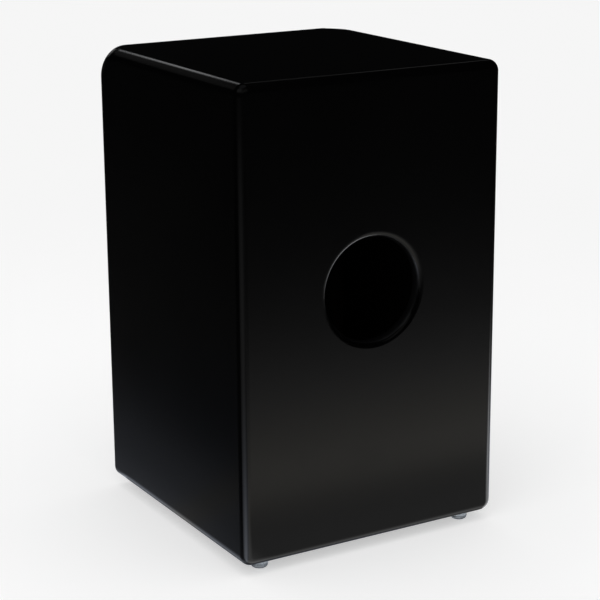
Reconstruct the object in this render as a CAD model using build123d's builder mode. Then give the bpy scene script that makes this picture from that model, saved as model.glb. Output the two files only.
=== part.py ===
from build123d import *
import math
import os

# Box drum (cajon): a glued shell of four mitred panels, a rear panel with a round sound hole, a thin playing
# board (tapa) screwed on the front, four bumper feet, and a tilting snare beam inside behind the tapa.
# Millimetres. +Z up, origin on the floor under the middle of the box. The tapa faces -Y, the sound hole faces +Y.
# Left and right are as seen facing the tapa, so right is +X.

# ---- driving dimensions ------------------------------------------------------------------------------------
width = 300.0              # X, over the side panels
depth = 300.0              # Y, over the tapa and the rear panel
body_height = 480.0        # Z, over the top and bottom panels
foot_height = 10.0
panel_t = 12.0             # shell and rear panel thickness
tapa_t = 3.0               # playing board thickness
edge_r = 12.0              # long edges of the shell, rounded about the inner corner of the mitre
rear_edge_r = 9.0          # round-over on the outer edge of the rear panel
front_corner_rx = 28.5     # top front corners: half-axes of the elliptical corner on the tapa
front_corner_rz = 31.5
front_blend = 28.0         # depth over which that corner runs back into edge_r
tapa_edge_r = 1.2

hole_r = 53.0              # sound hole bore
hole_z = 263.7             # centre above the underside of the body
hole_round_out = 6.5       # round-over at the outer rim
hole_round_in = 1.5        # round-over at the inner rim

foot_r = 9.0
foot_round = 3.4
foot_x = 121.5
foot_y = 129.0

rail = 18.0                # square rails behind the edges of the tapa
strip = 15.0               # legs of the triangular glue strips
screw_r = 1.6              # shank of the tapa screws
screw_head_r = 3.6
screw_len = 18.0
screw_cols = 6             # screws along each side, the corner ones included
screw_rows = 2             # further screws along the top and the bottom

tilt = 10.0                # lean of the snare wires towards the tapa, degrees
pivot_y = -112.3           # tilt axis of the snare beam
pivot_up = 428.0           # above the underside of the body
beam_len = 204.0
beam_t = 20.0              # across the wires' plane
beam_w = 30.0              # along the wires
plate_l, plate_w, plate_t = 56.0, 18.0, 1.0
plate_x = 62.0             # middle of each wire set
plate_up = -4.0            # middle of the plate along the beam's face
strand_r = 1.1             # outside of a coiled wire
strand_n = 12
strand_pitch = 4.4
strand_len = 119.0
strand_sunk = 0.15         # solder depth into the plate
bracket_t = 2.0
bracket_w = 26.0
bracket_gap = 0.2          # beam end to bracket ear
bracket_flange = 26.0
stud_r = 3.0               # M6
stud_clear = 0.06          # running clearance in the bracket and in the insert
stud_grip = 16.0           # stud length inside the beam
insert_r, insert_l = 4.5, 13.0
washer_r, washer_t = 8.0, 1.0
knob_r, knob_l, knob_hub_r, knob_hub_l = 11.0, 10.0, 7.0, 3.0

# ---- derived levels ----------------------------------------------------------------------------------------
z0 = foot_height
z1 = foot_height + body_height
half_w, half_d = width / 2, depth / 2
y_front, y_rear = -half_d, half_d
y_shell0 = y_front + tapa_t          # front edge of the shell
y_shell1 = y_rear - panel_t          # rear edge of the shell
in_x = half_w - panel_t
in_z0, in_z1 = z0 + panel_t, z1 - panel_t
pivot_z = z0 + pivot_up
hole_cz = z0 + hole_z

os.makedirs("parts", exist_ok=True)


def xz(y):
    """Plane square to Y at this depth: local x is +X, local y is +Z, normal towards the front."""
    return Plane(origin=(0, y, 0), x_dir=(1, 0, 0), z_dir=(0, -1, 0))


def outline(rx, rz):
    """Body outline seen from the front: elliptical top corners, round bottom corners."""
    r = edge_r
    with BuildLine() as line:
        Line((-half_w + r, z0), (half_w - r, z0))
        CenterArc((half_w - r, z0 + r), r, -90, 90)
        Line((half_w, z0 + r), (half_w, z1 - rz))
        EllipticalCenterArc((half_w - rx, z1 - rz), rx, rz, start_angle=0, arc_size=90)
        Line((half_w - rx, z1), (-half_w + rx, z1))
        EllipticalCenterArc((-half_w + rx, z1 - rz), rx, rz, start_angle=90, arc_size=90)
        Line((-half_w, z1 - rz), (-half_w, z0 + r))
        CenterArc((-half_w + r, z0 + r), r, 180, 90)
    return line


# ---- the shell's outer form, front edge to rear edge --------------------------------------------------------
with BuildPart() as form:
    for i in range(7):
        u = i / 6
        k = (1 - u) ** 2
        with BuildSketch(xz(y_shell0 + front_blend * u)):
            add(outline(edge_r + (front_corner_rx - edge_r) * k, edge_r + (front_corner_rz - edge_r) * k).line)
            make_face()
    loft()
    with BuildSketch(xz(y_shell0 + front_blend)):
        add(outline(edge_r, edge_r).line)
        make_face()
    extrude(amount=-(y_shell1 - y_shell0 - front_blend))


def mitred(points):
    """One panel of the shell: its mitred profile, run front to back, trimmed to the outer form."""
    with BuildPart() as panel:
        with BuildSketch(xz(y_shell0)):
            with BuildLine():
                Polyline(*points, close=True)
            make_face()
        extrude(amount=-(y_shell1 - y_shell0))
        add(form.part, mode=Mode.INTERSECT)
    return panel


m = 1.0
x_out = half_w + m
side_panel_right = mitred([(in_x, in_z0), (x_out, z0 - m), (x_out, z1 + m), (in_x, in_z1)])
side_panel_left = mitred([(-in_x, in_z0), (-x_out, z0 - m), (-x_out, z1 + m), (-in_x, in_z1)])
bottom_panel = mitred([(-in_x, in_z0), (-x_out, z0 - m), (x_out, z0 - m), (in_x, in_z0)])

# the top panel is the seat, and the snare brackets are screwed up into its underside
bracket_x0 = beam_len / 2 + bracket_gap
bracket_x1 = bracket_x0 + bracket_t
bscrew_x = bracket_x1 - bracket_flange + 9.0
bscrew_ys = (pivot_y - 7.0, pivot_y + 7.0)
bscrew_r, bscrew_head_r, bscrew_head_t, bscrew_bite = 1.6, 3.3, 1.8, 9.0
bscrew_pts = [(s * bscrew_x, y) for s in (-1, 1) for y in bscrew_ys]
with BuildPart() as top_panel:
    add(mitred([(-in_x, in_z1), (-x_out, z1 + m), (x_out, z1 + m), (in_x, in_z1)]).part)
    with BuildSketch(Plane.XY.offset(in_z1)):
        with Locations(*bscrew_pts):
            Circle(bscrew_r)
    extrude(amount=bscrew_bite, mode=Mode.SUBTRACT)

# ---- rear panel with the sound hole -------------------------------------------------------------------------
with BuildPart() as rear_panel:
    with BuildSketch(xz(y_rear)):
        add(outline(edge_r, edge_r).line)
        make_face()
    extrude(amount=panel_t)
    fillet(rear_panel.faces().sort_by(Axis.Y)[-1].edges(), radius=rear_edge_r)
    with BuildSketch(xz(y_rear)):
        with Locations((0, hole_cz)):
            Circle(hole_r)
    extrude(amount=panel_t, mode=Mode.SUBTRACT)
    rims = rear_panel.edges().filter_by(GeomType.CIRCLE).filter_by(lambda e: abs(e.radius - hole_r) < 1e-4)
    fillet(rims.sort_by(Axis.Y)[-1], radius=hole_round_out)
    rims = rear_panel.edges().filter_by(GeomType.CIRCLE).filter_by(lambda e: abs(e.radius - hole_r) < 1e-4)
    fillet(rims.sort_by(Axis.Y)[0], radius=hole_round_in)

# ---- tapa: thin board, cut flush with the shell, screwed to the rails behind its edges ------------------------
sx = in_x - rail / 2
sz0, sz1 = in_z0 + rail / 2, in_z1 - rail / 2
screw_pts = []
for i in range(screw_cols):
    z = sz0 + (sz1 - sz0) * i / (screw_cols - 1)
    screw_pts += [(-sx, z), (sx, z)]
for i in range(1, screw_rows + 1):
    x = -sx + 2 * sx * i / (screw_rows + 1)
    screw_pts += [(x, sz0), (x, sz1)]

with BuildPart() as tapa:
    with BuildSketch(xz(y_shell0)):
        add(outline(front_corner_rx, front_corner_rz).line)
        make_face()
    extrude(amount=tapa_t)
    fillet(tapa.faces().sort_by(Axis.Y)[0].edges(), radius=tapa_edge_r)
    with BuildSketch(xz(y_front)):
        with Locations(*screw_pts):
            Circle(screw_r)
    extrude(amount=-tapa_t, mode=Mode.SUBTRACT)
    with BuildSketch(xz(y_front)):
        with Locations(*screw_pts):
            Circle(screw_head_r)
    extrude(amount=-(screw_head_r - screw_r), taper=45, mode=Mode.SUBTRACT)

with BuildPart() as tapa_screws:
    with BuildSketch(xz(y_front)):
        with Locations(*screw_pts):
            Circle(screw_r)
    extrude(amount=-screw_len)
    with BuildSketch(xz(y_front)):
        with Locations(*screw_pts):
            Circle(screw_head_r)
    extrude(amount=-(screw_head_r - screw_r), taper=45)
    with BuildSketch(xz(y_front)):
        with Locations(*screw_pts):
            Rectangle(3.8, 0.9)
            Rectangle(0.9, 3.8)
    extrude(amount=-1.3, mode=Mode.SUBTRACT)


# ---- rails behind the tapa ----------------------------------------------------------------------------------
def rail_piece(x_lo, x_hi, z_lo, z_hi):
    """Square rail against the back of the tapa, with the screw holes that fall on it."""
    with BuildPart() as piece:
        with BuildSketch(xz(y_shell0)):
            with Locations(((x_lo + x_hi) / 2, (z_lo + z_hi) / 2)):
                Rectangle(x_hi - x_lo, z_hi - z_lo)
        extrude(amount=-rail)
        chamfer(piece.faces().sort_by(Axis.Y)[-1].edges(), length=1.0)
        with BuildSketch(xz(y_shell0)):
            with Locations(*[p for p in screw_pts if x_lo < p[0] < x_hi and z_lo < p[1] < z_hi]):
                Circle(screw_r)
        extrude(amount=-(screw_len - tapa_t), mode=Mode.SUBTRACT)
    return piece


tapa_rail_left = rail_piece(-in_x, -in_x + rail, in_z0, in_z1)
tapa_rail_right = rail_piece(in_x - rail, in_x, in_z0, in_z1)
tapa_rail_top = rail_piece(-in_x + rail, in_x - rail, in_z1 - rail, in_z1)
tapa_rail_bottom = rail_piece(-in_x + rail, in_x - rail, in_z0, in_z0 + rail)


# ---- glue strips in the mitred corners, from the rails to the rear panel --------------------------------------
def corner_strip(side, level):
    cx = side * in_x
    cz = in_z1 if level > 0 else in_z0
    with BuildPart() as piece:
        with BuildSketch(xz(y_shell0 + rail)):
            with BuildLine():
                Polyline((cx, cz), (cx - side * strip, cz), (cx - side * strip, cz - level * 2.0),
                         (cx - side * 2.0, cz - level * strip), (cx, cz - level * strip), close=True)
            make_face()
        extrude(amount=-(y_shell1 - y_shell0 - rail))
    return piece


corner_strip_top_left = corner_strip(-1, 1)
corner_strip_top_right = corner_strip(1, 1)
corner_strip_bottom_left = corner_strip(-1, -1)
corner_strip_bottom_right = corner_strip(1, -1)


# ---- clear bumper feet, stuck to the bottom panel -------------------------------------------------------------
def foot(x, y):
    with BuildPart() as piece:
        with BuildSketch(Plane.XY.offset(z0)):
            with Locations((x, y)):
                Circle(foot_r)
        extrude(amount=-foot_height, taper=2)
        fillet(piece.faces().sort_by(Axis.Z)[0].edges(), radius=foot_round)
    return piece


foot_front_left = foot(-foot_x, -foot_y)
foot_front_right = foot(foot_x, -foot_y)
foot_rear_left = foot(-foot_x, foot_y)
foot_rear_right = foot(foot_x, foot_y)

# ---- snare beam ---------------------------------------------------------------------------------------------
# Beam frame: local x is +X, local y runs up the beam's face, the normal points at the tapa.
ca, sa = math.cos(math.radians(tilt)), math.sin(math.radians(tilt))


def face_plane(out):
    """Plane parallel to the beam's face, this far in front of the tilt axis."""
    return Plane(origin=(0, pivot_y - ca * out, pivot_z + sa * out), x_dir=(1, 0, 0), z_dir=(0, -ca, sa))


def end_plane(x):
    """Plane square to the tilt axis at this x, normal along +X."""
    return Plane(origin=(x, pivot_y, pivot_z), x_dir=(0, 1, 0), z_dir=(1, 0, 0))


sscrew_r, sscrew_head_r, sscrew_head_t, sscrew_len = 1.5, 2.9, 1.6, 12.0
sscrew_up = plate_up + 4.5
sscrew_pts = [(s * plate_x + d, sscrew_up) for s in (-1, 1) for d in (-18.0, 18.0)]

with BuildPart() as snare_beam:
    with BuildSketch(face_plane(-beam_t / 2)):
        Rectangle(beam_len, beam_w)
    extrude(amount=beam_t)
    fillet(snare_beam.edges().filter_by(Axis.X), radius=3.0)
    with BuildSketch(end_plane(beam_len / 2)):
        Circle(insert_r)
    extrude(amount=-insert_l, mode=Mode.SUBTRACT)
    with BuildSketch(end_plane(beam_len / 2 - insert_l)):
        Circle(stud_r + 0.4)
    extrude(amount=-(stud_grip - insert_l + 2.0), mode=Mode.SUBTRACT)
    with BuildSketch(end_plane(-beam_len / 2)):
        Circle(insert_r)
    extrude(amount=insert_l, mode=Mode.SUBTRACT)
    with BuildSketch(end_plane(-beam_len / 2 + insert_l)):
        Circle(stud_r + 0.4)
    extrude(amount=stud_grip - insert_l + 2.0, mode=Mode.SUBTRACT)
    with BuildSketch(face_plane(beam_t / 2)):
        with Locations(*sscrew_pts):
            Circle(sscrew_r)
    extrude(amount=-(sscrew_len - plate_t), mode=Mode.SUBTRACT)

with BuildPart() as beam_inserts:
    with BuildSketch(end_plane(beam_len / 2)):
        Circle(insert_r)
        Circle(stud_r + stud_clear, mode=Mode.SUBTRACT)
    extrude(amount=-insert_l)
    with BuildSketch(end_plane(-beam_len / 2)):
        Circle(insert_r)
        Circle(stud_r + stud_clear, mode=Mode.SUBTRACT)
    extrude(amount=insert_l)


# ---- snare wires: a row of coiled wires soldered on an end plate ----------------------------------------------
def wire_set(side):
    first = plate_up - plate_w / 2 + 7.0      # the wires start on the plate, 7 mm above its lower edge
    out = beam_t / 2 + plate_t + strand_r - strand_sunk
    o = (side * plate_x, pivot_y - ca * out + sa * first, pivot_z + sa * out + ca * first)
    with BuildPart() as piece:
        with BuildSketch(face_plane(beam_t / 2)):
            with Locations((side * plate_x, plate_up)):
                RectangleRounded(plate_l, plate_w, 1.5)
            with Locations(*[p for p in sscrew_pts if p[0] * side > 0]):
                Circle(sscrew_r, mode=Mode.SUBTRACT)
        extrude(amount=plate_t)
        with BuildSketch(Plane(origin=o, x_dir=(1, 0, 0), z_dir=(0, -sa, -ca))):
            with GridLocations(strand_pitch, 1.0, strand_n, 1):
                Circle(strand_r)
        extrude(amount=strand_len)
    return piece


snare_wires_left = wire_set(-1)
snare_wires_right = wire_set(1)

with BuildPart() as snare_screws:
    with BuildSketch(face_plane(beam_t / 2 + plate_t)):
        with Locations(*sscrew_pts):
            Circle(sscrew_r)
    extrude(amount=-sscrew_len)
    with BuildSketch(face_plane(beam_t / 2 + plate_t)):
        with Locations(*sscrew_pts):
            Circle(sscrew_head_r)
    extrude(amount=sscrew_head_t)
    fillet(snare_screws.edges().filter_by(GeomType.CIRCLE).filter_by(lambda e: abs(e.radius - sscrew_head_r) < 1e-4)
           .sort_by(Axis.Y)[:4], radius=0.8)
    with BuildSketch(face_plane(beam_t / 2 + plate_t + sscrew_head_t)):
        with Locations(*sscrew_pts):
            Rectangle(3.2, 0.7)
            Rectangle(0.7, 3.2)
    extrude(amount=-1.1, mode=Mode.SUBTRACT)

# ---- brackets under the top panel, with the beam between their ears -------------------------------------------
ear_low = pivot_z - bracket_w / 2
with BuildPart() as snare_bracket_right:
    with BuildSketch(Plane(origin=(0, pivot_y - bracket_w / 2, 0), x_dir=(1, 0, 0), z_dir=(0, -1, 0))):
        with BuildLine():
            Polyline((bracket_x0, ear_low), (bracket_x1, ear_low), (bracket_x1, in_z1),
                     (bracket_x1 - bracket_flange, in_z1), (bracket_x1 - bracket_flange, in_z1 - bracket_t),
                     (bracket_x0, in_z1 - bracket_t), close=True)
        make_face()
    extrude(amount=-bracket_w)
    bends = snare_bracket_right.edges().filter_by(Axis.Y)
    fillet(bends.filter_by(lambda e: abs(e.center().X - bracket_x0) < 1e-4 and e.center().Z > pivot_z), radius=1.0)
    bends = snare_bracket_right.edges().filter_by(Axis.Y)
    fillet(bends.filter_by(lambda e: abs(e.center().X - bracket_x1) < 1e-4 and e.center().Z > pivot_z), radius=2.5)
    ends = snare_bracket_right.edges().filter_by(Axis.X)
    fillet(ends.filter_by(lambda e: e.center().Z < pivot_z), radius=bracket_w / 2 - 0.5)
    ends = snare_bracket_right.edges().filter_by(Axis.Z)
    fillet(ends.filter_by(lambda e: e.center().X < bracket_x0 - 5), radius=3.0)
    with BuildSketch(end_plane(bracket_x1)):
        Circle(stud_r + stud_clear)
    extrude(amount=-bracket_t, mode=Mode.SUBTRACT)
    with BuildSketch(Plane.XY.offset(in_z1)):
        with Locations(*[p for p in bscrew_pts if p[0] > 0]):
            Circle(bscrew_r)
    extrude(amount=-bracket_t, mode=Mode.SUBTRACT)
with BuildPart() as snare_bracket_left:
    mirror(snare_bracket_right.part, about=Plane.YZ)

with BuildPart() as bracket_screws:
    with BuildSketch(Plane.XY.offset(in_z1 - bracket_t)):
        with Locations(*bscrew_pts):
            Circle(bscrew_r)
    extrude(amount=bracket_t + bscrew_bite)
    with BuildSketch(Plane.XY.offset(in_z1 - bracket_t)):
        with Locations(*bscrew_pts):
            Circle(bscrew_head_r)
    extrude(amount=-bscrew_head_t)
    fillet(bracket_screws.faces().sort_by(Axis.Z)[:4].edges(), radius=0.9)
    with BuildSketch(Plane.XY.offset(in_z1 - bracket_t - bscrew_head_t)):
        with Locations(*bscrew_pts):
            Rectangle(3.4, 0.8)
            Rectangle(0.8, 3.4)
    extrude(amount=1.2, mode=Mode.SUBTRACT)

# ---- hand knobs: a fluted head moulded on an M6 stud, with a washer against the bracket -----------------------
washer_x = bracket_x1 + 0.1
knob_x = washer_x + washer_t
with BuildPart() as knob_right:
    with BuildSketch(end_plane(knob_x)):
        Circle(knob_hub_r)
    extrude(amount=knob_hub_l)
    with BuildSketch(end_plane(knob_x + knob_hub_l)):
        Circle(knob_r)
        with PolarLocations(knob_r + 1.2, 8):
            Circle(2.8, mode=Mode.SUBTRACT)
    extrude(amount=knob_l)
    fillet(knob_right.faces().sort_by(Axis.X)[-1].edges(), radius=1.0)
    with BuildSketch(end_plane(knob_x)):
        Circle(stud_r)
    extrude(amount=knob_hub_l + knob_l - 3.0, mode=Mode.SUBTRACT)
with BuildPart() as knob_left:
    mirror(knob_right.part, about=Plane.YZ)

with BuildPart() as knob_stud_right:
    with BuildSketch(end_plane(beam_len / 2 - stud_grip)):
        Circle(stud_r)
    extrude(amount=knob_x + knob_hub_l + knob_l - 3.0 - (beam_len / 2 - stud_grip))
    chamfer(knob_stud_right.faces().sort_by(Axis.X)[0].edges(), length=0.8)
with BuildPart() as knob_stud_left:
    mirror(knob_stud_right.part, about=Plane.YZ)

with BuildPart() as knob_washer_right:
    with BuildSketch(end_plane(washer_x)):
        Circle(washer_r)
        Circle(stud_r, mode=Mode.SUBTRACT)
    extrude(amount=washer_t)
with BuildPart() as knob_washer_left:
    mirror(knob_washer_right.part, about=Plane.YZ)

# ---- write one file per piece -------------------------------------------------------------------------------
side_panel_left.part.label = "side_panel_left"
export_step(side_panel_left.part, "parts/side_panel_left.step")
side_panel_right.part.label = "side_panel_right"
export_step(side_panel_right.part, "parts/side_panel_right.step")
top_panel.part.label = "top_panel"
export_step(top_panel.part, "parts/top_panel.step")
bottom_panel.part.label = "bottom_panel"
export_step(bottom_panel.part, "parts/bottom_panel.step")
rear_panel.part.label = "rear_panel"
export_step(rear_panel.part, "parts/rear_panel.step")
tapa.part.label = "tapa"
export_step(tapa.part, "parts/tapa.step")
tapa_screws.part.label = "tapa_screws"
export_step(tapa_screws.part, "parts/tapa_screws.step")
tapa_rail_left.part.label = "tapa_rail_left"
export_step(tapa_rail_left.part, "parts/tapa_rail_left.step")
tapa_rail_right.part.label = "tapa_rail_right"
export_step(tapa_rail_right.part, "parts/tapa_rail_right.step")
tapa_rail_top.part.label = "tapa_rail_top"
export_step(tapa_rail_top.part, "parts/tapa_rail_top.step")
tapa_rail_bottom.part.label = "tapa_rail_bottom"
export_step(tapa_rail_bottom.part, "parts/tapa_rail_bottom.step")
corner_strip_top_left.part.label = "corner_strip_top_left"
export_step(corner_strip_top_left.part, "parts/corner_strip_top_left.step")
corner_strip_top_right.part.label = "corner_strip_top_right"
export_step(corner_strip_top_right.part, "parts/corner_strip_top_right.step")
corner_strip_bottom_left.part.label = "corner_strip_bottom_left"
export_step(corner_strip_bottom_left.part, "parts/corner_strip_bottom_left.step")
corner_strip_bottom_right.part.label = "corner_strip_bottom_right"
export_step(corner_strip_bottom_right.part, "parts/corner_strip_bottom_right.step")
foot_front_left.part.label = "foot_front_left"
export_step(foot_front_left.part, "parts/foot_front_left.step")
foot_front_right.part.label = "foot_front_right"
export_step(foot_front_right.part, "parts/foot_front_right.step")
foot_rear_left.part.label = "foot_rear_left"
export_step(foot_rear_left.part, "parts/foot_rear_left.step")
foot_rear_right.part.label = "foot_rear_right"
export_step(foot_rear_right.part, "parts/foot_rear_right.step")
snare_beam.part.label = "snare_beam"
export_step(snare_beam.part, "parts/snare_beam.step")
beam_inserts.part.label = "beam_inserts"
export_step(beam_inserts.part, "parts/beam_inserts.step")
snare_wires_left.part.label = "snare_wires_left"
export_step(snare_wires_left.part, "parts/snare_wires_left.step")
snare_wires_right.part.label = "snare_wires_right"
export_step(snare_wires_right.part, "parts/snare_wires_right.step")
snare_screws.part.label = "snare_screws"
export_step(snare_screws.part, "parts/snare_screws.step")
snare_bracket_left.part.label = "snare_bracket_left"
export_step(snare_bracket_left.part, "parts/snare_bracket_left.step")
snare_bracket_right.part.label = "snare_bracket_right"
export_step(snare_bracket_right.part, "parts/snare_bracket_right.step")
bracket_screws.part.label = "bracket_screws"
export_step(bracket_screws.part, "parts/bracket_screws.step")
knob_left.part.label = "knob_left"
export_step(knob_left.part, "parts/knob_left.step")
knob_right.part.label = "knob_right"
export_step(knob_right.part, "parts/knob_right.step")
knob_stud_left.part.label = "knob_stud_left"
export_step(knob_stud_left.part, "parts/knob_stud_left.step")
knob_stud_right.part.label = "knob_stud_right"
export_step(knob_stud_right.part, "parts/knob_stud_right.step")
knob_washer_left.part.label = "knob_washer_left"
export_step(knob_washer_left.part, "parts/knob_washer_left.step")
knob_washer_right.part.label = "knob_washer_right"
export_step(knob_washer_right.part, "parts/knob_washer_right.step")
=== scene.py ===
import math

import bmesh
import bpy
import numpy as np
from mathutils import Matrix, Vector


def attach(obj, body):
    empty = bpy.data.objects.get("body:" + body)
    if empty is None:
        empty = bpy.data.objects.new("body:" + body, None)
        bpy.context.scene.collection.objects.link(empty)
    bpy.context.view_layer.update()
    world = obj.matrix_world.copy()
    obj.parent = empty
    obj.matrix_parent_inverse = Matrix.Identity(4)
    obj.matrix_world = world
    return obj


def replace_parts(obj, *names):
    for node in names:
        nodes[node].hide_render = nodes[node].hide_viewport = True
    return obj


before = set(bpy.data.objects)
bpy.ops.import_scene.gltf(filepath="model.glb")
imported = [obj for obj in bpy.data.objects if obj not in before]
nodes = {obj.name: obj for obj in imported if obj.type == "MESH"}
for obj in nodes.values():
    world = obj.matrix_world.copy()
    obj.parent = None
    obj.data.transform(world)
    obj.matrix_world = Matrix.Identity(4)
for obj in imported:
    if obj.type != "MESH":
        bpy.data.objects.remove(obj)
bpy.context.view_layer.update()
scene = bpy.context.scene
scene.view_settings.view_transform = "Standard"
scene.view_settings.look = "None"
scene.view_settings.exposure = 0.0
scene.view_settings.gamma = 1.0

# ---------------------------------------------------------------- camera
cam_data = bpy.data.cameras.new("camera")
cam_data.sensor_width = 36.0
cam_data.lens = 111.06
cam_data.clip_start, cam_data.clip_end = 0.05, 60.0
cam = bpy.data.objects.new("camera", cam_data)
scene.collection.objects.link(cam)
right = Vector((-0.861904, 0.507027, -0.006751))
up = Vector((-0.143638, -0.231362, 0.962206))
back = Vector((0.486302, 0.830299, 0.272240))
eye = Vector((0.9503, 1.6283, 0.7612))
cam.matrix_world = Matrix((
    (right.x, up.x, back.x, eye.x),
    (right.y, up.y, back.y, eye.y),
    (right.z, up.z, back.z, eye.z),
    (0.0, 0.0, 0.0, 1.0)))
scene.camera = cam


# ---------------------------------------------------------------- node helpers
class Graph:
    """Small wrapper that makes shader nodes and links them."""

    def __init__(self, name, world=False):
        if world:
            self.owner = bpy.data.worlds.new(name)
            self.owner.use_nodes = True
        else:
            self.owner = bpy.data.materials.new(name)
            self.owner.use_nodes = True
        self.nt = self.owner.node_tree
        self.nt.nodes.clear()
        self.out = self.nt.nodes.new("ShaderNodeOutputWorld" if world else "ShaderNodeOutputMaterial")

    def node(self, kind, **props):
        n = self.nt.nodes.new(kind)
        for k, v in props.items():
            setattr(n, k, v)
        return n

    def put(self, socket, value):
        if isinstance(value, bpy.types.NodeSocket):
            self.nt.links.new(value, socket)
        elif value is not None:
            if socket.type == "RGBA" and len(value) == 3:
                value = (*value, 1.0)
            socket.default_value = value

    def math(self, op, a, b=None, c=None, clamp=False):
        n = self.node("ShaderNodeMath", operation=op, use_clamp=clamp)
        self.put(n.inputs[0], a)
        self.put(n.inputs[1], b)
        self.put(n.inputs[2], c)
        return n.outputs[0]

    def add(self, a, b): return self.math("ADD", a, b)
    def sub(self, a, b): return self.math("SUBTRACT", a, b)
    def mul(self, a, b): return self.math("MULTIPLY", a, b)

    def ramp(self, value, lo, hi, to_lo=0.0, to_hi=1.0, smooth=True):
        n = self.node("ShaderNodeMapRange", interpolation_type="SMOOTHSTEP" if smooth else "LINEAR", clamp=True)
        self.put(n.inputs["Value"], value)
        n.inputs["From Min"].default_value = lo
        n.inputs["From Max"].default_value = hi
        n.inputs["To Min"].default_value = to_lo
        n.inputs["To Max"].default_value = to_hi
        return n.outputs[0]

    def curve(self, value, points):
        """Straight segments through (x, y) points, x and y in 0..1."""
        n = self.node("ShaderNodeFloatCurve")
        c = n.mapping.curves[0]
        pts = sorted(points)
        c.points[0].location = pts[0]
        c.points[1].location = pts[-1]
        for q in pts[1:-1]:
            c.points.new(*q)
        for q in c.points:
            q.handle_type = "VECTOR"
        n.mapping.update()
        self.put(n.inputs["Value"], value)
        return n.outputs[0]

    def mix(self, fac, a, b):
        n = self.node("ShaderNodeMix", data_type="RGBA")
        self.put(n.inputs["Factor"], fac)
        self.put(n.inputs[6], a)
        self.put(n.inputs[7], b)
        return n.outputs[2]

    def coords(self):
        return self.node("ShaderNodeTexCoord").outputs["Object"]

    def xyz(self, vec):
        n = self.node("ShaderNodeSeparateXYZ")
        self.put(n.inputs[0], vec)
        return n.outputs

    def scaled(self, vec, scale, loc=(0, 0, 0), rot=(0, 0, 0)):
        n = self.node("ShaderNodeMapping")
        self.put(n.inputs["Vector"], vec)
        n.inputs["Location"].default_value = loc
        n.inputs["Rotation"].default_value = rot
        n.inputs["Scale"].default_value = scale
        return n.outputs[0]

    def noise(self, vec, scale, detail=3.0, rough=0.5, distort=0.0):
        n = self.node("ShaderNodeTexNoise")
        self.put(n.inputs["Vector"], vec)
        n.inputs["Scale"].default_value = scale
        n.inputs["Detail"].default_value = detail
        n.inputs["Roughness"].default_value = rough
        n.inputs["Distortion"].default_value = distort
        return n.outputs["Fac"]

    def wave(self, vec, scale, distort=0.0, detail=2.0, dscale=1.0, direction="X", profile="SIN"):
        n = self.node("ShaderNodeTexWave", wave_type="BANDS", bands_direction=direction, wave_profile=profile)
        self.put(n.inputs["Vector"], vec)
        n.inputs["Scale"].default_value = scale
        n.inputs["Distortion"].default_value = distort
        n.inputs["Detail"].default_value = detail
        n.inputs["Detail Scale"].default_value = dscale
        return n.outputs["Fac"]

    def bump(self, height, strength, distance, normal=None):
        n = self.node("ShaderNodeBump")
        n.inputs["Strength"].default_value = strength
        n.inputs["Distance"].default_value = distance
        self.put(n.inputs["Height"], height)
        self.put(n.inputs["Normal"], normal)
        return n.outputs[0]

    def principled(self, **sockets):
        n = self.node("ShaderNodeBsdfPrincipled")
        for k, v in sockets.items():
            self.put(n.inputs[k.replace("_", " ")], v)
        self.nt.links.new(n.outputs[0], self.out.inputs["Surface"])
        return n


def wear_mask(g, vec, radius):
    """1 on a convex edge, 0 on a flat, from the bevelled normal."""
    bev = g.node("ShaderNodeBevel", samples=4)
    bev.inputs["Radius"].default_value = radius
    geo = g.node("ShaderNodeNewGeometry")
    dot = g.node("ShaderNodeVectorMath", operation="DOT_PRODUCT")
    g.put(dot.inputs[0], bev.outputs[0])
    g.put(dot.inputs[1], geo.outputs["Normal"])
    return g.ramp(dot.outputs["Value"], 0.995, 0.93)


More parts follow.
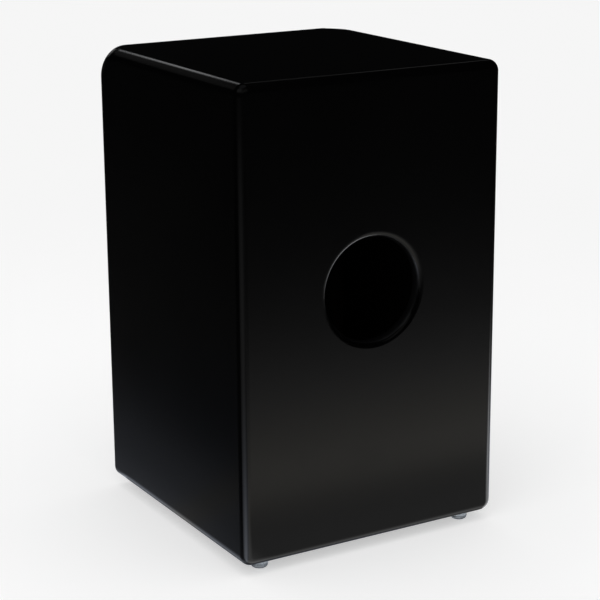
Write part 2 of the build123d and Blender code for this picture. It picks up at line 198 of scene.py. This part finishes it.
# ---------------------------------------------------------------- materials
def make_lacquer():
    """Black lacquer outside, matt black stain on the inner faces of the box."""
    g = Graph("black_lacquer")
    p = g.coords()
    x, y, z = g.xyz(p)
    inside = g.mul(
        g.mul(g.math("LESS_THAN", g.math("ABSOLUTE", x), 0.1384), g.math("LESS_THAN", y, 0.1381)),
        g.math("LESS_THAN", g.math("ABSOLUTE", g.sub(z, 0.25)), 0.2284))
    slow = g.noise(p, 7.0, 3.0, 0.5)
    film = g.noise(p, 330.0, 2.0, 0.45)
    swell = g.noise(p, 38.0, 2.0, 0.5)
    grain_p = g.scaled(p, (240.0, 240.0, 9.0))
    pores = g.noise(grain_p, 1.0, 4.0, 0.6, 0.25)
    smudge = g.ramp(g.noise(g.scaled(p, (1, 1, 0.7)), 21.0, 5.0, 0.62, 0.6), 0.52, 0.74)
    hair = g.ramp(g.noise(g.scaled(p, (1900.0, 260.0, 70.0), rot=(0.3, 0.5, 0.9)), 1.0, 2.0, 0.4), 0.70, 0.82)
    out_col = g.mix(slow, (0.0005, 0.0005, 0.0006), (0.0013, 0.0012, 0.0013))
    in_grain = g.noise(g.scaled(p, (150.0, 150.0, 5.0)), 1.0, 5.0, 0.65, 0.4)
    in_col = g.mix(in_grain, (0.0045, 0.0040, 0.0036), (0.017, 0.014, 0.012))
    out_rough = g.add(g.add(g.ramp(slow, 0.3, 0.7, 0.125, 0.165), g.mul(smudge, 0.045)), g.mul(hair, 0.05))
    # the routed wall of the sound hole takes the film less evenly than the faces
    zc = g.sub(z, 0.2737)
    bore = g.mul(g.ramp(g.math("SQRT", g.add(g.mul(x, x), g.mul(zc, zc))), 0.0552, 0.0535), g.math("GREATER_THAN", y, 0.135))
    out_rough = g.add(out_rough, g.mul(bore, g.ramp(pores, 0.3, 0.7, 0.16, 0.30)))
    out_col = g.mix(bore, out_col, (0.0040, 0.0040, 0.0044))
    in_rough = g.ramp(in_grain, 0.3, 0.7, 0.62, 0.85)
    height = g.add(g.add(g.mul(film, 0.5), g.mul(swell, 2.4)), g.mul(pores, 0.28))
    n_out = g.bump(height, 0.10, 0.00012)
    n_in = g.bump(in_grain, 0.5, 0.0004)
    nm = g.node("ShaderNodeMix", data_type="VECTOR")
    g.put(nm.inputs["Factor"], inside)
    g.put(nm.inputs[4], n_out)
    g.put(nm.inputs[5], n_in)
    rough = g.add(g.mul(out_rough, g.sub(1.0, inside)), g.mul(in_rough, inside))
    g.principled(Base_Color=g.mix(inside, out_col, in_col), Roughness=rough, IOR=1.5, Normal=nm.outputs[1])
    return g.owner


def make_tapa():
    """Thin board: flat-sawn veneer stained black, its figure still readable under satin lacquer, bare stained back."""
    g = Graph("tapa_lacquer")
    p = g.coords()
    x, y, z = g.xyz(p)
    inside = g.math("GREATER_THAN", y, -0.14705)
    # cathedral figure: growth rings cut as long arches up the middle, running straight towards the sides
    drift = g.noise(g.scaled(p, (4.0, 1.0, 1.5)), 1.0, 2.0, 0.5)
    ripple = g.noise(g.scaled(p, (38.0, 1.0, 4.0)), 1.0, 3.0, 0.55)
    xs = g.add(x, g.add(0.018, g.mul(g.sub(drift, 0.5), 0.05)))
    phase = g.add(g.add(g.mul(g.mul(xs, xs), 560.0), g.mul(z, 10.0)), g.mul(ripple, 1.5))
    saw = g.math("FRACT", phase)
    late = g.mul(g.ramp(saw, 0.45, 0.93), g.ramp(saw, 1.0, 0.94))
    fibre = g.noise(g.scaled(p, (620.0, 620.0, 9.0)), 1.0, 5.0, 0.66, 0.3)
    pores = g.ramp(g.noise(g.scaled(p, (1300.0, 1300.0, 34.0)), 1.0, 3.0, 0.6), 0.57, 0.70)
    slow = g.noise(g.scaled(p, (9.0, 1.0, 3.0)), 1.0, 3.0, 0.5)
    col = g.mix(g.add(g.mul(fibre, 0.6), g.mul(slow, 0.4)), (0.0050, 0.0044, 0.0041), (0.0135, 0.0118, 0.0106))
    col = g.mix(g.mul(late, 0.62), col, (0.0026, 0.0023, 0.0022))
    col = g.mix(g.mul(pores, 0.55), col, (0.0018, 0.0016, 0.0016))
    smudge = g.ramp(g.noise(p, 16.0, 5.0, 0.62, 0.5), 0.5, 0.72)
    centre = g.math("SQRT", g.add(g.mul(x, x), g.mul(g.sub(z, 0.42), g.sub(z, 0.42))))
    played = g.ramp(centre, 0.16, 0.03)
    rough = g.add(g.ramp(fibre, 0.2, 0.8, 0.22, 0.29), g.mul(late, 0.03))
    rough = g.add(rough, g.add(g.mul(smudge, 0.04), g.mul(g.mul(played, smudge), 0.07)))
    rough = g.add(g.mul(rough, g.sub(1.0, inside)), g.mul(inside, 0.8))
    height = g.add(g.add(g.mul(fibre, 0.7), g.mul(pores, -1.2)), g.add(g.mul(drift, 5.0), g.mul(late, 0.8)))
    g.principled(Base_Color=col, Roughness=rough, IOR=1.5, Normal=g.bump(height, 0.16, 0.00016))
    return g.owner


def make_stained(name, axis):
    """Square-sawn softwood under a thin matt black stain. axis is the grain's direction."""
    g = Graph(name)
    p = g.coords()
    s = [170.0, 170.0, 170.0]
    s[axis] = 6.0
    grain = g.noise(g.scaled(p, tuple(s)), 1.0, 5.0, 0.65, 0.4)
    s2 = [60.0, 60.0, 60.0]
    s2[axis] = 1.2
    rings = g.noise(g.scaled(p, tuple(s2)), 1.0, 2.0, 0.5, 0.8)
    fig = g.add(g.mul(grain, 0.5), g.mul(rings, 0.5))
    col = g.mix(g.ramp(fig, 0.3, 0.7), (0.006, 0.005, 0.0045), (0.030, 0.023, 0.018))
    g.principled(Base_Color=col, Roughness=g.ramp(grain, 0.3, 0.7, 0.6, 0.88), Normal=g.bump(fig, 0.5, 0.0004))
    return g.owner


def make_beech():
    """Oiled beech: pale brown, short dark flecks along the grain."""
    g = Graph("beech")
    p = g.coords()
    grain = g.noise(g.scaled(p, (5.0, 190.0, 190.0)), 1.0, 5.0, 0.6, 0.35)
    rings = g.wave(g.scaled(p, (0.6, 4.0, 4.0)), 9.0, 4.0, 2.0, 1.5, "Z")
    fleck = g.ramp(g.noise(g.scaled(p, (95.0, 900.0, 900.0)), 1.0, 2.0, 0.5), 0.60, 0.72)
    fig = g.add(g.mul(grain, 0.6), g.mul(rings, 0.4))
    col = g.mix(g.ramp(fig, 0.25, 0.75), (0.43, 0.245, 0.120), (0.60, 0.385, 0.215))
    col = g.mix(g.mul(fleck, 0.75), col, (0.23, 0.105, 0.045))
    g.principled(Base_Color=col, Roughness=g.ramp(grain, 0.3, 0.7, 0.42, 0.58),
                 Normal=g.bump(g.sub(grain, fleck), 0.3, 0.00025))
    return g.owner


def make_zinc():
    """Zinc plate: pale grey metal with cloudy spangle and fine handling scratches."""
    g = Graph("zinc_steel")
    p = g.coords()
    cloud = g.noise(p, 190.0, 3.0, 0.6, 0.6)
    scratch = g.ramp(g.noise(g.scaled(p, (2600.0, 240.0, 240.0), rot=(0.2, 0.6, 0.4)), 1.0, 2.0, 0.5), 0.62, 0.76)
    col = g.mix(cloud, (0.50, 0.52, 0.55), (0.68, 0.69, 0.66))
    g.principled(Base_Color=col, Metallic=1.0, Roughness=g.add(g.ramp(cloud, 0.3, 0.7, 0.26, 0.40), g.mul(scratch, 0.12)),
                 Normal=g.bump(g.add(cloud, g.mul(scratch, 0.6)), 0.12, 0.0001))
    return g.owner


def make_black_oxide():
    """Blackened steel screw heads, brighter where the driver has rubbed the recess."""
    g = Graph("black_screw")
    p = g.coords()
    cloud = g.noise(p, 700.0, 3.0, 0.6)
    rub = g.mul(wear_mask(g, p, 0.0003), g.ramp(g.noise(p, 900.0, 2.0, 0.5), 0.4, 0.6))
    col = g.mix(rub, g.mix(cloud, (0.10, 0.10, 0.104), (0.17, 0.17, 0.175)), (0.38, 0.38, 0.38))
    g.principled(Base_Color=col, Metallic=0.85, Roughness=g.ramp(cloud, 0.3, 0.7, 0.34, 0.50),
                 Normal=g.bump(cloud, 0.2, 0.00006))
    return g.owner


def make_brass():
    g = Graph("brass_insert")
    p = g.coords()
    turned = g.wave(g.scaled(p, (1.0, 0.0, 0.0)), 2400.0, 0.6, 1.0, 1.0, "X")
    cloud = g.noise(p, 240.0, 3.0, 0.6)
    col = g.mix(cloud, (0.62, 0.42, 0.16), (0.80, 0.60, 0.28))
    g.principled(Base_Color=col, Metallic=1.0, Roughness=g.ramp(cloud, 0.3, 0.7, 0.22, 0.36),
                 Normal=g.bump(turned, 0.25, 0.00008))
    return g.owner


def make_knob():
    """Black moulded plastic with a fine spark-eroded texture, shinier where fingers touch it."""
    g = Graph("knob_plastic")
    p = g.coords()
    fine = g.noise(p, 2600.0, 2.0, 0.5)
    slow = g.noise(p, 160.0, 3.0, 0.5)
    rub = wear_mask(g, p, 0.0012)
    col = g.mix(slow, (0.010, 0.010, 0.011), (0.020, 0.020, 0.021))
    g.principled(Base_Color=col, Roughness=g.sub(g.ramp(slow, 0.3, 0.7, 0.46, 0.60), g.mul(rub, 0.16)),
                 Normal=g.bump(fine, 0.35, 0.00008))
    return g.owner


def make_wire():
    """Bright spring steel."""
    g = Graph("snare_wire")
    p = g.coords()
    cloud = g.noise(p, 420.0, 3.0, 0.6)
    col = g.mix(cloud, (0.56, 0.56, 0.56), (0.74, 0.74, 0.72))
    g.principled(Base_Color=col, Metallic=1.0, Roughness=g.ramp(cloud, 0.3, 0.7, 0.20, 0.34),
                 Normal=g.bump(cloud, 0.1, 0.00006))
    return g.owner


def make_bumper():
    """Milky clear polyurethane, slightly blue, with faint flow marks and a dusty skin."""
    g = Graph("clear_bumper")
    p = g.coords()
    flow = g.noise(p, 210.0, 3.0, 0.5, 0.5)
    dust = g.ramp(g.noise(p, 900.0, 4.0, 0.6), 0.5, 0.75)
    col = g.mix(flow, (0.76, 0.85, 0.95), (0.87, 0.92, 0.98))
    g.principled(Base_Color=col, Roughness=g.add(0.12, g.mul(dust, 0.14)), IOR=1.40, Transmission_Weight=0.62,
                 Normal=g.bump(flow, 0.12, 0.0003))
    return g.owner


lacquer = make_lacquer()
tapa_mat = make_tapa()
stain_x, stain_y, stain_z = (make_stained("stained_wood_" + "xyz"[a], a) for a in range(3))
beech, zinc, oxide, brass, knob_mat, wire_mat, bumper = (
    make_beech(), make_zinc(), make_black_oxide(), make_brass(), make_knob(), make_wire(), make_bumper())

finish = {
    "side_panel_left": lacquer, "side_panel_right": lacquer, "top_panel": lacquer, "bottom_panel": lacquer,
    "rear_panel": lacquer, "tapa": tapa_mat, "tapa_screws": oxide,
    "tapa_rail_left": stain_z, "tapa_rail_right": stain_z, "tapa_rail_top": stain_x, "tapa_rail_bottom": stain_x,
    "corner_strip_top_left": stain_y, "corner_strip_top_right": stain_y,
    "corner_strip_bottom_left": stain_y, "corner_strip_bottom_right": stain_y,
    "foot_front_left": bumper, "foot_front_right": bumper, "foot_rear_left": bumper, "foot_rear_right": bumper,
    "snare_beam": beech, "beam_inserts": brass, "snare_wires_left": wire_mat, "snare_wires_right": wire_mat,
    "snare_screws": zinc, "snare_bracket_left": zinc, "snare_bracket_right": zinc, "bracket_screws": zinc,
    "knob_left": knob_mat, "knob_right": knob_mat, "knob_stud_left": zinc, "knob_stud_right": zinc,
    "knob_washer_left": zinc, "knob_washer_right": zinc,
}
for name, o in nodes.items():
    o.data.materials.clear()
    o.data.materials.append(finish[name])

# ---------------------------------------------------------------- snare wires, coiled, soldered to their plates
def snare_set(name, side):
    mm = 0.001
    lean = math.radians(10.0)
    ca, sa = math.cos(lean), math.sin(lean)
    pivot = Vector((0.0, -112.3, 438.0))
    ex, down, face = Vector((1, 0, 0)), Vector((0, -sa, -ca)), Vector((0, -ca, sa))
    coil_r, wire_r, length, pitch, per_turn = 0.85, 0.25, 119.0, 1.75, 9
    plate_l, plate_w, plate_t, beam_half, plate_up = 56.0, 18.0, 1.0, 10.0, -4.0
    verts, faces = [], []

    def tube(path, normals, r, sides=5):
        """Closed tube along the path, with flat ends."""
        first = len(verts)
        n = len(path)
        for k, (c, u) in enumerate(zip(path, normals)):
            t = (path[min(k + 1, n - 1)] - path[max(k - 1, 0)]).normalized()
            v = t.cross(u).normalized()
            for j in range(sides):
                a = 2 * math.pi * j / sides
                verts.append((c + r * (math.cos(a) * u + math.sin(a) * v)) * mm)
        for k in range(n - 1):
            for j in range(sides):
                a0, a1 = first + k * sides + j, first + k * sides + (j + 1) % sides
                faces.append((a0, a1, a1 + sides, a0 + sides))
        faces.append(tuple(first + j for j in reversed(range(sides))))
        faces.append(tuple(first + (n - 1) * sides + j for j in range(sides)))

    def shell(rings):
        """Closed surface through rings of equal count, with a point-free flat cap at each end."""
        first, m = len(verts), len(rings[0])
        for ring in rings:
            verts.extend([q * mm for q in ring])
        for k in range(len(rings) - 1):
            for j in range(m):
                a0, a1 = first + k * m + j, first + k * m + (j + 1) % m
                faces.append((a0, a1, a1 + m, a0 + m))
        faces.append(tuple(first + j for j in reversed(range(m))))
        faces.append(tuple(first + (len(rings) - 1) * m + j for j in range(m)))

    out = beam_half + plate_t + coil_r + wire_r - 0.15
    up0 = plate_up - plate_w / 2 + 7.0
    for i in range(12):
        x0 = side * 62.0 + (i - 5.5) * 4.4
        start = pivot + face * out - down * up0 + ex * x0
        phase = 2.1 * i + (0.7 if side > 0 else 0.0)
        steps = int(length / pitch * per_turn)
        path, normals = [], []
        for k in range(steps + 1):
            s = wire_r + (length - 2 * wire_r) * k / steps
            a = phase + 2 * math.pi * k / per_turn
            u = math.cos(a) * ex + math.sin(a) * face
            path.append(start + down * s + coil_r * u)
            normals.append(u)
        tube(path, normals, wire_r)
        # solder bead over the last turns on the plate
        rings = []
        for k in range(7):
            t = -1.0 + 2.0 * k / 6
            w = math.sqrt(max(1.0 - t * t, 0.0)) * 0.97 + 0.03
            c = pivot + face * (beam_half + plate_t - 0.2) - down * (up0 - 2.6) + down * (2.5 * t) + ex * x0
            rings.append([c + w * (1.75 * math.cos(b) * ex + (0.95 + 0.12 * math.sin(i * 1.9)) * math.sin(b) * face)
                          for b in [2 * math.pi * j / 12 for j in range(12)]])
        shell(rings)
    # end plate with rounded corners and a softened outer edge
    outline = []
    for sx, sy, a0 in ((1, 1, 0), (-1, 1, 90), (-1, -1, 180), (1, -1, 270)):
        for k in range(7):
            a = math.radians(a0 + 15 * k)
            outline.append((sx * (plate_l / 2 - 1.5), sy * (plate_w / 2 - 1.5), math.cos(a), math.sin(a)))
    rings = []
    for lift, r in ((0.02, 1.38), (0.12, 1.5), (0.88, 1.5), (0.97, 1.44), (1.0, 1.34)):
        o = pivot + face * (beam_half + lift * plate_t) - down * plate_up + ex * side * 62.0
        rings.append([o + ex * (cx + r * ux) - down * (cy + r * uy) for cx, cy, ux, uy in outline])
    shell(rings)

    me = bpy.data.meshes.new(name)
    me.from_pydata([tuple(v) for v in verts], [], faces)
    bm = bmesh.new()
    bm.from_mesh(me)
    bmesh.ops.recalc_face_normals(bm, faces=bm.faces[:])
    bm.to_mesh(me)
    bm.free()
    for f in me.polygons:
        f.use_smooth = len(f.vertices) == 4
    me.materials.append(wire_mat)
    o = bpy.data.objects.new(name, me)
    scene.collection.objects.link(o)
    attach(o, "snare")
    return o


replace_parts(snare_set("snare_coils_left", -1), "snare_wires_left")
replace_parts(snare_set("snare_coils_right", 1), "snare_wires_right")

# ---------------------------------------------------------------- floor, world, light
PALE = 0.92


def make_floor_material():
    """Pale floor. Mirror reflections see it as a studio floor with painted pools of light round the object and painted
    shade under it.
    """
    g = Graph("floor")
    geo = g.node("ShaderNodeNewGeometry")
    pos = geo.outputs["Position"]
    x, y, z = g.xyz(pos)
    path = g.node("ShaderNodeLightPath")
    dist = g.math("SQRT", g.add(g.mul(x, x), g.mul(y, y)))
    far = g.ramp(dist, 0.55, 1.9)
    # seen directly
    diff = g.node("ShaderNodeBsdfDiffuse")
    tone = g.noise(pos, 3.0, 3.0, 0.5)
    g.put(diff.inputs["Color"], g.mix(tone, (0.83, 0.83, 0.835), (0.86, 0.86, 0.86)))
    lift = g.node("ShaderNodeEmission")
    lift.inputs["Color"].default_value = (1.0, 1.0, 1.0, 1)
    g.put(lift.inputs["Strength"], g.mul(g.math("MAXIMUM", path.outputs["Is Camera Ray"],
                                                path.outputs["Is Transmission Ray"]), 0.49))
    both = g.node("ShaderNodeAddShader")
    g.put(both.inputs[0], diff.outputs[0])
    g.put(both.inputs[1], lift.outputs[0])
    glow = g.node("ShaderNodeEmission")
    glow.inputs["Color"].default_value = (PALE, PALE, PALE, 1)
    seen = g.node("ShaderNodeMixShader")
    g.put(seen.inputs[0], far)
    g.put(seen.inputs[1], both.outputs[0])
    g.put(seen.inputs[2], glow.outputs[0])
    # seen in a reflection: q runs from the nearest point of the footprint
    ax, ay = g.math("ABSOLUTE", x), g.math("ABSOLUTE", y)
    qx = g.mul(g.math("SIGN", x), g.math("MAXIMUM", g.sub(ax, 0.15), 0.0))
    qy = g.mul(g.math("SIGN", y), g.math("MAXIMUM", g.sub(ay, 0.15), 0.0))
    r = g.math("SQRT", g.add(g.mul(qx, qx), g.mul(qy, qy)))
    ang = g.math("ARCTAN2", qx, g.mul(qy, -1.0))          # 0 towards -Y, +90 towards +X, degrees / 360 + 0.5
    turn = g.add(g.mul(ang, 0.5 / math.pi), 0.5)

    def profile(dd, table, top):
        warp = g.math("DIVIDE", dd, g.add(dd, 0.6))
        pts = [(d / (d + 0.6), v / top) for d, v in table]
        return g.mul(g.curve(g.math("MAXIMUM", warp, 0.0), pts + [(1.0, 0.004 / top)]), top)

    def sector(table):
        pts = [(a / 360 + 0.5, v) for a, v in table]
        return g.curve(turn, pts)

    # painted light levels of the floor in each direction from the box; the lower values right next to the box are
    # painted contact shade
    rear = profile(g.math("MAXIMUM", qy, 0.0), [
        (0, 0.30), (0.05, 0.30), (0.10, 0.28), (0.147, 0.33), (0.194, 0.47), (0.244, 0.50), (0.297, 0.43), (0.353, 0.365),
        (0.428, 0.29), (0.509, 0.22), (0.616, 0.155), (0.735, 0.10), (0.868, 0.075), (1.02, 0.051), (1.19, 0.036),
        (1.38, 0.030), (1.6, 0.024), (1.86, 0.018), (2.2, 0.012)], 0.5)
    side = profile(g.math("MAXIMUM", qx, 0.0), [
        (0, 0.18), (0.03, 0.150), (0.044, 0.125), (0.061, 0.10), (0.08, 0.09), (0.105, 0.07), (0.133, 0.05), (0.161, 0.035),
        (0.192, 0.028), (0.233, 0.022), (0.335, 0.019), (0.4, 0.016), (0.55, 0.012), (0.75, 0.009), (1.0, 0.006)], 0.18)
    side = g.mul(side, g.ramp(y, -0.05, 0.10, 1.0, 0.72))
    right = profile(r, [
        (0, 2.0), (0.056, 1.80), (0.092, 1.45), (0.194, 0.92), (0.34, 0.50), (0.58, 0.23), (0.94, 0.18), (1.36, 0.14),
        (1.93, 0.10), (2.5, 0.035), (4.0, 0.01)], 2.0)
    front = profile(r, [
        (0, 0.45), (0.1, 0.60), (0.2, 0.70), (0.33, 0.52), (0.50, 0.22), (0.70, 0.09), (1.0, 0.04), (1.6, 0.02),
        (2.4, 0.012)], 0.7)
    ahead = profile(r, [(0, 0.30), (0.2, 0.50), (0.5, 0.52), (1.0, 0.42), (1.6, 0.30), (2.5, 0.15), (4.0, 0.03)], 0.6)
    w_rear = sector([(-180, 1), (-143, 1), (-131, 0), (162, 0), (174, 1), (180, 1)])
    w_right = sector([(-180, 0), (90, 0), (92, 0.12), (100, 0.45), (112, 0.75), (126, 1), (140, 0.97), (152, 0.66), (172, 0.12), (180, 0)])
    w_side = sector([(-180, 0), (5, 0), (16, 1), (90, 1), (92, 0.88), (102, 0), (180, 0)])
    w_front = sector([(-180, 0), (-142, 0), (-124, 1), (-26, 1), (-12, 0), (180, 0)])
    w_ahead = sector([(-180, 0), (-26, 0), (-12, 1), (5, 1), (16, 0), (180, 0)])
    total = g.add(g.add(g.mul(rear, w_rear), g.mul(right, w_right)),
                  g.add(g.add(g.mul(side, w_side), g.mul(ahead, w_ahead)), g.mul(front, w_front)))
    # long pool of light that runs off the rear left corner
    vx, vy = g.add(x, 0.15), g.sub(y, 0.15)
    along = g.add(g.mul(vx, math.sin(math.radians(-118))), g.mul(vy, -math.cos(math.radians(-118))))
    across = g.add(g.mul(vx, -math.cos(math.radians(-118))), g.mul(vy, -math.sin(math.radians(-118))))
    rel = g.math("DIVIDE", across, g.add(0.031, g.mul(g.math("MAXIMUM", along, 0.0), 0.08)))
    bell = g.math("EXPONENT", g.mul(g.mul(rel, rel), -1.0))
    pool_l = g.mul(g.mul(bell, g.ramp(along, -0.04, 0.01)), profile(g.math("MAXIMUM", along, 0.0), [
        (0, 1.2), (0.1, 1.55), (0.2, 2.3), (0.34, 2.2), (0.5, 1.6), (0.60, 1.0), (0.80, 0.18), (1.1, 0.0),
        (3.0, 0.0)], 2.5))
    total = g.add(total, g.mul(pool_l, g.sub(1.0, w_rear)))
    # painted patch of light on the floor behind the rear +X corner, seen only in reflections
    corner = g.mul(g.ramp(x, 0.100, 0.145), profile(g.math("MAXIMUM", qy, 0.0), [
        (0, 0.55), (0.05, 0.55), (0.12, 0.30), (0.19, 0.08), (0.26, 0.0), (0.8, 0.0)], 0.6))
    total = g.add(total, g.mul(corner, w_rear))
    # painted bright rim on the floor right round the footprint, seen only in reflections
    total = g.add(total, g.ramp(r, 0.0, 0.024, 0.50, 0.0))
    # painted shadow on the floor under the footprint, seen only in reflections
    under = g.math("LESS_THAN", r, 0.00001)
    total = g.add(g.mul(total, g.sub(1.0, under)), g.mul(under, 0.23))
    pool = g.node("ShaderNodeEmission")
    warm = g.mul(w_rear, g.mul(g.ramp(qy, 0.06, 0.20), g.ramp(qy, 0.52, 0.30)))
    cool = g.mul(g.sub(1.0, g.math("MAXIMUM", w_rear, bell)), g.ramp(r, 0.70, 0.15))
    tint = g.mix(warm, g.mix(cool, (1.0, 1.0, 1.0), (0.91, 0.97, 1.11)), (1.03, 1.0, 0.93))
    g.put(pool.inputs["Color"], tint)
    g.put(pool.inputs["Strength"], total)
    mirror_ray = g.mul(path.outputs["Is Glossy Ray"], g.sub(1.0, path.outputs["Is Transmission Ray"]))
    pick = g.node("ShaderNodeMixShader")
    g.put(pick.inputs[0], mirror_ray)
    g.put(pick.inputs[1], seen.outputs[0])
    g.put(pick.inputs[2], pool.outputs[0])
    # from below the floor is clear, so the underside can be looked at
    clear = g.node("ShaderNodeBsdfTransparent")
    last = g.node("ShaderNodeMixShader")
    g.put(last.inputs[0], geo.outputs["Backfacing"])
    g.put(last.inputs[1], pick.outputs[0])
    g.put(last.inputs[2], clear.outputs[0])
    g.nt.links.new(last.outputs[0], g.out.inputs["Surface"])
    g.owner.cycles.emission_sampling = "NONE"
    return g.owner


bm = bmesh.new()
bmesh.ops.create_circle(bm, cap_ends=True, segments=96, radius=14.0)
floor_mesh = bpy.data.meshes.new("floor")
bm.to_mesh(floor_mesh)
bm.free()
floor = bpy.data.objects.new("floor", floor_mesh)
floor_mesh.materials.append(make_floor_material())
scene.collection.objects.link(floor)

w = Graph("room", world=True)
wp = w.node("ShaderNodeLightPath")
direction = w.node("ShaderNodeTexCoord").outputs["Generated"]
dx, dy, dz = w.xyz(direction)
pale = w.node("ShaderNodeBackground")
pale.inputs["Color"].default_value = (PALE, PALE, PALE, 1)
dark = w.node("ShaderNodeBackground")
w.put(dark.inputs["Color"], w.mix(w.ramp(dx, -0.6, 0.6), (0.95, 0.97, 1.0), (0.90, 0.95, 1.0)))
w.put(dark.inputs["Strength"], w.ramp(dz, 0.86, 0.96, 0.003, 0.10))
ambient = w.node("ShaderNodeBackground")
ambient.inputs["Color"].default_value = (1.0, 1.0, 1.0, 1)
ambient.inputs["Strength"].default_value = 0.42
unseen = w.node("ShaderNodeMixShader")
w.put(unseen.inputs[0], wp.outputs["Is Diffuse Ray"])
w.put(unseen.inputs[1], dark.outputs[0])
w.put(unseen.inputs[2], ambient.outputs[0])
pick = w.node("ShaderNodeMixShader")
w.put(pick.inputs[0], w.math("MAXIMUM", wp.outputs["Is Camera Ray"], wp.outputs["Is Transmission Ray"]))
w.put(pick.inputs[1], unseen.outputs[0])
w.put(pick.inputs[2], pale.outputs[0])
w.nt.links.new(pick.outputs[0], w.out.inputs["Surface"])
scene.world = w.owner


def area(name, centre, target, size_x, size_y, power, colour=(1, 1, 1), glossy=True):
    data = bpy.data.lights.new(name, "AREA")
    data.shape = "RECTANGLE"
    data.size, data.size_y = size_x, size_y
    data.energy = power
    data.color = colour
    o = bpy.data.objects.new(name, data)
    scene.collection.objects.link(o)
    c, t = Vector(centre), Vector(target)
    o.location = c
    o.rotation_mode = "QUATERNION"
    o.rotation_quaternion = (t - c).to_track_quat("-Z", "Y")
    o.visible_glossy = glossy
    o.visible_camera = False
    return o


def toward(az_deg, el_deg, dist, centre=(0, 0, 0.45)):
    """Point at that distance: azimuth from -Y towards +X, elevation above the horizon."""
    a, e = math.radians(az_deg), math.radians(el_deg)
    return Vector(centre) + dist * Vector((math.sin(a) * math.cos(e), -math.cos(a) * math.cos(e), math.sin(e)))


def radiance_power(size_x, size_y, radiance):
    return radiance * math.pi * size_x * size_y


# strip behind the object, seen as the bright line along the top edge, and two dim ones beside it
def box_light(name, az, el, dist, wide_deg, tall_deg, radiance, colour=(1, 1, 1)):
    sx = 2 * dist * math.tan(math.radians(wide_deg / 2))
    sy = 2 * dist * math.tan(math.radians(tall_deg / 2))
    return area(name, toward(az, el, dist), (0, 0, 0.45), sx, sy, radiance_power(sx, sy, radiance), colour)


box_light("strip_back", -12.0, 25.2, 3.0, 8.0, 7.0, 0.45, (0.97, 0.985, 1.0))
box_light("strip_back_tail", -16.5, 21.6, 3.02, 6.0, 7.5, 0.44, (0.97, 0.985, 1.0))
box_light("box_back_dim", 10.0, 26.0, 3.0, 30.0, 12.0, 0.035, (1.0, 0.99, 0.98))
box_light("box_left_dim", -50.0, 41.0, 3.0, 12.0, 10.0, 0.13, (1.0, 1.0, 1.0))
box_light("box_left_low", -33.0, 33.6, 3.0, 7.0, 8.0, 0.11, (1.0, 1.0, 1.0))
# large softbox on the right, behind the camera of the main view
box_light("box_right", 118.0, 46.0, 3.0, 44.0, 30.0, 0.15, (0.97, 0.985, 1.0))
box_light("box_rear", 176.0, 33.0, 3.0, 44.0, 26.0, 0.08, (1.0, 0.99, 0.97))
box_light("box_low_back", -9.0, 6.0, 3.0, 12.0, 10.0, 0.20, (1.0, 1.0, 1.0))
# soft overhead light, for the shadow on the floor
area("top_soft", (0.25, 0.35, 2.6), (0, 0, 0.1), 2.6, 2.6, 14.0, (1.0, 0.99, 0.98), glossy=False)
area("fill_soft", (1.8, 1.9, 1.5), (0, 0, 0.2), 1.8, 1.8, 6.0, (0.97, 0.98, 1.0), glossy=False)
